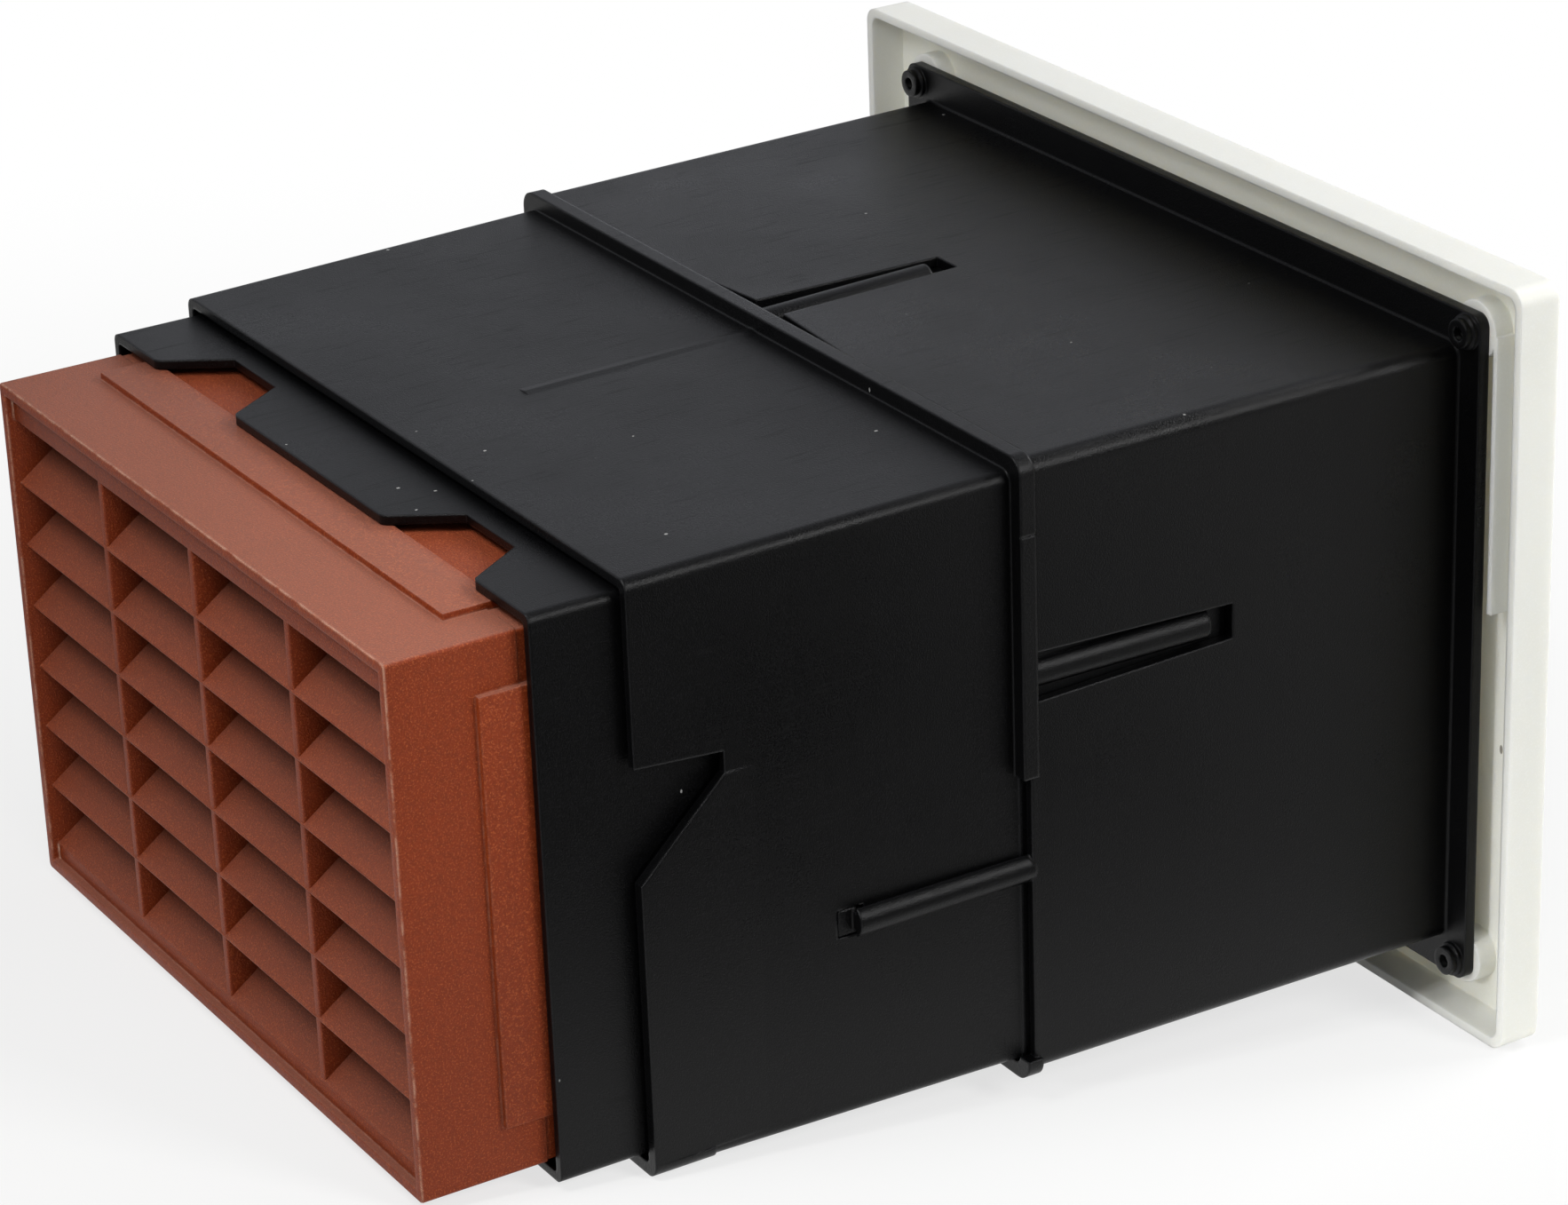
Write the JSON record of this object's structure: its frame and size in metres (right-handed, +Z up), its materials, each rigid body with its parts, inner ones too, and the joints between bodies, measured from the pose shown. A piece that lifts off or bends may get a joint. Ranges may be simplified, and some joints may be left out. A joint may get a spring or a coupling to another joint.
{
  "type": "air brick",
  "caption": "Louvred terracotta air brick with a telescopic black wall sleeve, a snap coupling and a white room-side louvre cover, for airing a room through a cavity wall.",
  "frame": {"origin": "on the brick's underside, in the middle of the flat strip behind its face, where the brick beds on the course below", "axes": "+X to the right seen from outside, +Y along the duct from the outside face into the room, +Z up"},
  "size_m": [0.2956, 0.3055, 0.2102],
  "materials": {
    "brick_plastic": "fine matt moulded surface, terracotta coloured",
    "sleeve_plastic": "satin black moulded polypropylene",
    "cover_plastic": "smooth satin white",
    "screw_steel": "bright zinc"
  },
  "bodies": {
    "brick_head": {"air_brick": "brick_plastic", "front_sleeve": "sleeve_plastic"},
    "wall_sleeve": {"middle_sleeve": "sleeve_plastic", "rear_sleeve": "sleeve_plastic", "room_cover": "cover_plastic", "cover_screws": "screw_steel"}
  },
  "joints": [
    {"name": "telescope", "type": "slide", "parent": "brick_head", "child": "wall_sleeve", "axis": [0, 1, 0], "range_m": [-0.02, 0.04]}
  ]
}
